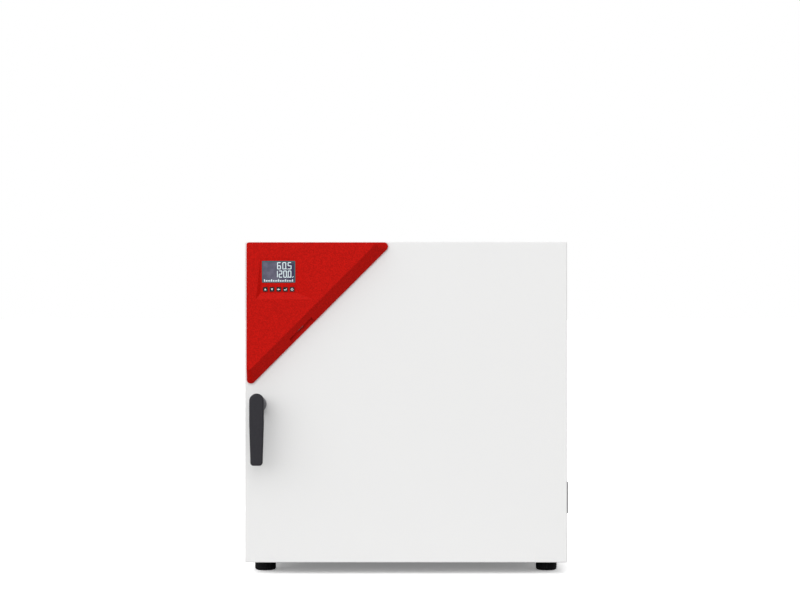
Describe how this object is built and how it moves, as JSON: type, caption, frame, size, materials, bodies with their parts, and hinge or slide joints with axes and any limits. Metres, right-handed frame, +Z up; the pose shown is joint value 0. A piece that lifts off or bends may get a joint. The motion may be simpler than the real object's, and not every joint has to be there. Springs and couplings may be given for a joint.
{
  "type": "drying oven",
  "caption": "Floor or bench drying oven with an insulated side-hinged door, triangular control housing, lever latch, fan-driven chamber, wire racks and rear exhaust flap.",
  "frame": {"origin": "middle of the whole oven's bounding box, on the floor under the feet", "axes": "+Z up, the door faces -Y, +X to the right seen from the front"},
  "size_m": [0.7186, 0.708, 0.735],
  "materials": {
    "white_enamel": "fine textured powder coat, satin",
    "stainless": "rolled sheet, brushed",
    "zinc_steel": "zinc plated, satin",
    "mineral_wool": "matte fibre",
    "foot_rubber": "matte moulded rubber",
    "silicone": "satin silicone",
    "cast_aluminium": "cast, satin",
    "black_plastic": "matte moulded",
    "brass": "turned, satin",
    "grey_plastic": "fine moulded grain",
    "light_plastic": "satin moulded",
    "board_laminate": "printed circuit laminate",
    "red_plastic": "fine moulded grain",
    "teal_plastic": "satin moulded",
    "display_glass": "clear front over a dark display",
    "key_plastic": "satin moulded",
    "handle_plastic": "fine moulded grain",
    "rosette_plastic": "fine moulded grain"
  },
  "bodies": {
    "cabinet": {"outer_shell": "white_enamel", "rear_cover": "white_enamel", "front_frame": "stainless", "chamber_liner": "stainless", "air_baffle": "stainless", "rack_rail_left": "stainless", "rack_rail_right": "stainless", "exhaust_duct": "stainless", "ring_heater": "stainless", "temperature_probes": "stainless", "base_plate": "zinc_steel", "cover_screws": "zinc_steel", "foot_screws": "zinc_steel", "latch_keeper": "zinc_steel", "hinge_arms": "zinc_steel", "hinge_pins": "zinc_steel", "hinge_screws": "zinc_steel", "network_socket": "zinc_steel", "cabinet_insulation": "mineral_wool", "foot_pads": "foot_rubber", "fan_motor": "cast_aluminium", "flap_motor": "black_plastic", "mains_inlet": "black_plastic", "power_switch": "black_plastic", "thermostat_body": "black_plastic", "inlet_contacts": "brass", "side_bezel": "grey_plastic", "side_cap": "light_plastic", "power_board": "board_laminate"},
    "door": {"door_outer_panel": "white_enamel", "door_inner_panel": "stainless", "door_insulation": "mineral_wool", "door_gasket": "silicone", "hinge_blocks": "zinc_steel", "hinge_bushes": "brass", "control_housing": "red_plastic", "display_bezel": "teal_plastic", "display_lens": "display_glass", "display_module": "black_plastic", "control_board": "board_laminate", "usb_socket": "zinc_steel", "housing_screws": "zinc_steel", "handle_rosette": "rosette_plastic"},
    "handle": {"handle_lever": "handle_plastic", "handle_spindle": "zinc_steel", "latch_cam": "zinc_steel", "cam_nut": "zinc_steel"},
    "button_up_key": {"button_up": "key_plastic"},
    "button_down_key": {"button_down": "key_plastic"},
    "button_back_key": {"button_back": "key_plastic"},
    "button_enter_key": {"button_enter": "key_plastic"},
    "button_standby_key": {"button_standby": "key_plastic"},
    "fan": {"fan_wheel": "stainless", "fan_shaft": "stainless"},
    "flap": {"exhaust_flap": "stainless"},
    "rocker": {"switch_rocker": "black_plastic"},
    "knob": {"thermostat_knob": "black_plastic"},
    "upper_rack": {"rack_upper": "stainless"},
    "lower_rack": {"rack_lower": "stainless"}
  },
  "joints": [
    {"name": "door_hinge", "type": "hinge", "parent": "cabinet", "child": "door", "pos_m": [0.33875, -0.276, 0.3815], "axis": [0, 0, 1], "range_deg": [0, 110]},
    {"name": "handle_turn", "type": "hinge", "parent": "door", "child": "handle", "pos_m": [-0.33025, -0.334, 0.377], "axis": [0, -1, 0], "range_deg": [0, 90]},
    {"name": "button_up_press", "type": "slide", "parent": "door", "child": "button_up_key", "axis": [0, 0.9979, 0.0648], "range_m": [0, 0.0008], "stiffness_N_per_m": 400, "springref_m": -0.0005},
    {"name": "button_down_press", "type": "slide", "parent": "door", "child": "button_down_key", "axis": [0, 0.9979, 0.0648], "range_m": [0, 0.0008], "stiffness_N_per_m": 400, "springref_m": -0.0005},
    {"name": "button_back_press", "type": "slide", "parent": "door", "child": "button_back_key", "axis": [0, 0.9979, 0.0648], "range_m": [0, 0.0008], "stiffness_N_per_m": 400, "springref_m": -0.0005},
    {"name": "button_enter_press", "type": "slide", "parent": "door", "child": "button_enter_key", "axis": [0, 0.9979, 0.0648], "range_m": [0, 0.0008], "stiffness_N_per_m": 400, "springref_m": -0.0005},
    {"name": "button_standby_press", "type": "slide", "parent": "door", "child": "button_standby_key", "axis": [0, 0.9979, 0.0648], "range_m": [0, 0.0008], "stiffness_N_per_m": 400, "springref_m": -0.0005},
    {"name": "fan_spin", "type": "hinge", "parent": "cabinet", "child": "fan", "pos_m": [-0.00425, 0.215, 0.3815], "axis": [0, 1, 0], "continuous": true},
    {"name": "flap_turn", "type": "hinge", "parent": "cabinet", "child": "flap", "pos_m": [-0.00425, 0.282, 0.5715], "axis": [1, 0, 0], "range_deg": [0, 90]},
    {"name": "switch_rock", "type": "hinge", "parent": "cabinet", "child": "rocker", "pos_m": [0.34875, -0.182, 0.1635], "axis": [0, 1, 0], "range_deg": [0, 20]},
    {"name": "thermostat_turn", "type": "hinge", "parent": "cabinet", "child": "knob", "pos_m": [0.35, -0.121, 0.1635], "axis": [1, 0, 0], "range_deg": [0, 270]},
    {"name": "rack_upper_slide", "type": "slide", "parent": "cabinet", "child": "upper_rack", "axis": [0, -1, 0], "range_m": [0, 0.012]},
    {"name": "rack_lower_slide", "type": "slide", "parent": "cabinet", "child": "lower_rack", "axis": [0, -1, 0], "range_m": [0, 0.012]}
  ]
}
